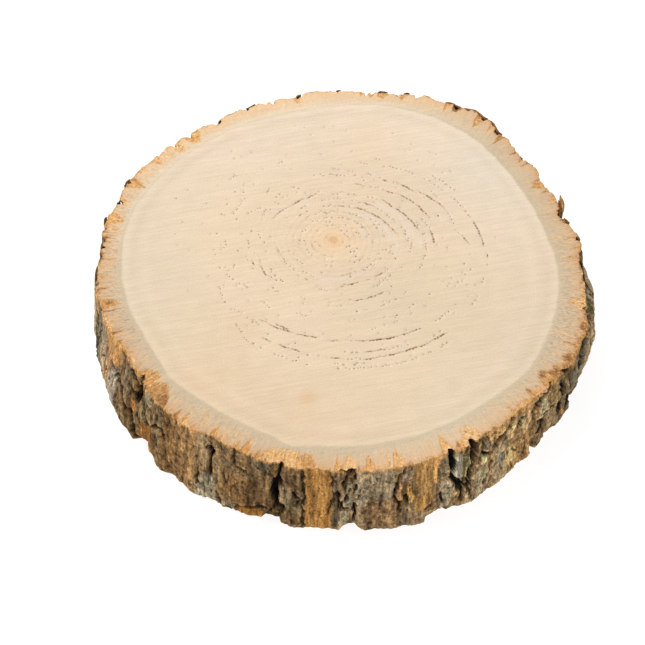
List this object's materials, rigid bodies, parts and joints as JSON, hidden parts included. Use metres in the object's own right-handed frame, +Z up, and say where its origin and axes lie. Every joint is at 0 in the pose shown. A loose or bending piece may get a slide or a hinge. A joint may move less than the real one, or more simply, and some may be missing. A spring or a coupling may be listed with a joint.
{
  "type": "bark-on log slice",
  "caption": "Round slice sawn straight across a log, lying flat, with growth rings on its cut face and ridged bark round its edge.",
  "frame": {"origin": "middle of the flat underside that the slice rests on", "axes": "+Z up along the grain of the wood, from the underside to the sawn top; -Y towards the side seen in the picture"},
  "size_m": [0.2273, 0.2265, 0.042],
  "materials": {
    "barked_wood": "sawn pale wood on the two faces, rough grey-brown bark round the edge"
  },
  "bodies": {
    "root": {"log_slice": "barked_wood"}
  },
  "joints": []
}
